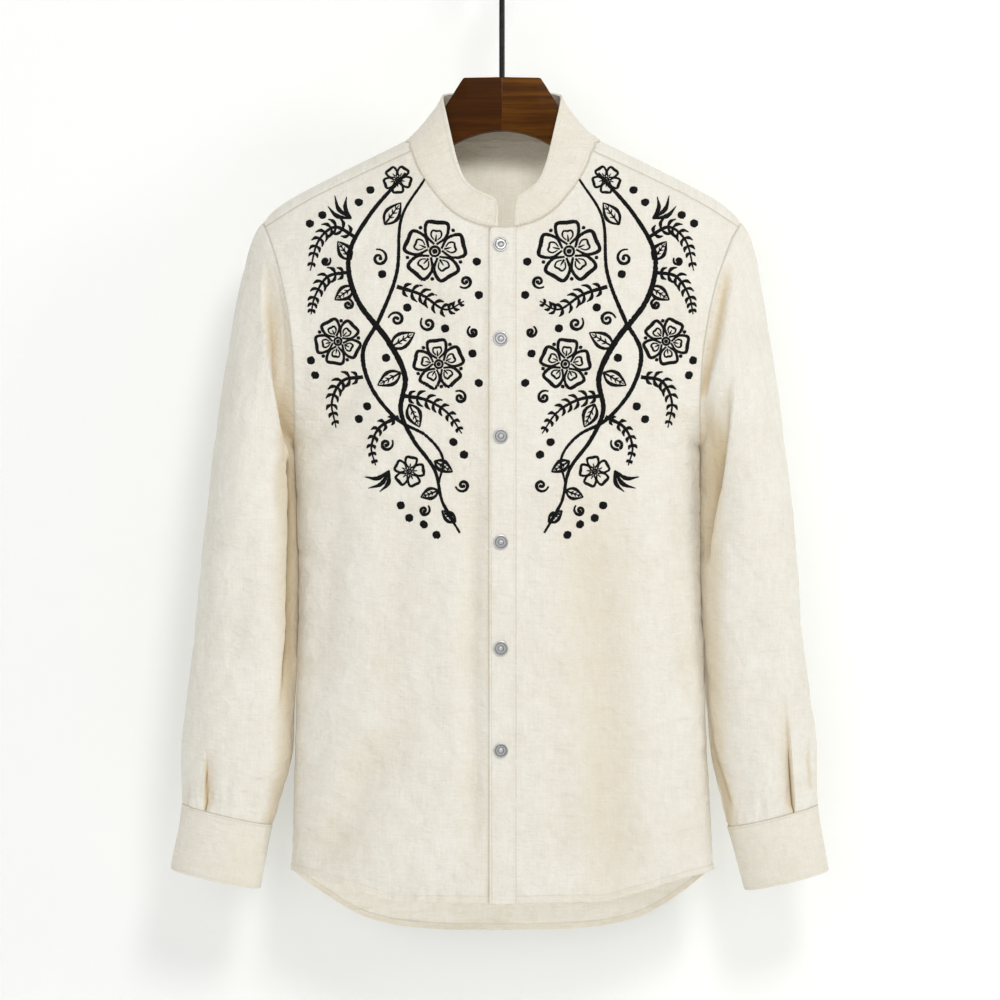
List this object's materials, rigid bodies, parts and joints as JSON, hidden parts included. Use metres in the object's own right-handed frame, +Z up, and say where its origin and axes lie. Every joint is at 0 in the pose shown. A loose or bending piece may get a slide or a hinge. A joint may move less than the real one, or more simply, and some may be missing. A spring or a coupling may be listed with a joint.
{
  "type": "embroidered band-collar shirt on a hanger",
  "caption": "Long-sleeved linen shirt with a band collar, button placket and dark embroidery on both fronts, hanging closed on a wooden hanger with a black hook.",
  "frame": {"origin": "top of the inside of the hook, where it bears on a rail", "axes": "+Z up; -Y out of the shirt's front; +X towards the wearer's left"},
  "size_m": [0.6378, 0.1499, 0.9978],
  "materials": {
    "linen": "cream slub linen, plain weave, matt",
    "embroidery_thread": "black satin-stitched thread",
    "button_metal": "dull silver-grey metal with rings",
    "hanger_wood": "dark stained and varnished wood",
    "hook_black": "glossy black"
  },
  "bodies": {
    "root": {"front_right": "linen", "front_left": "linen", "placket": "linen", "yoke": "linen", "back": "linen", "collar": "linen", "sleeve_right": "linen", "sleeve_left": "linen", "cuff_right": "linen", "cuff_left": "linen", "sleeve_placket_right": "linen", "sleeve_placket_left": "linen", "button_1": "button_metal", "button_2": "button_metal", "button_3": "button_metal", "button_4": "button_metal", "button_5": "button_metal", "button_6": "button_metal", "cuff_button_right": "button_metal", "cuff_button_left": "button_metal", "hanger_right": "hanger_wood", "hanger_left": "hanger_wood", "hook": "hook_black"}
  },
  "joints": []
}
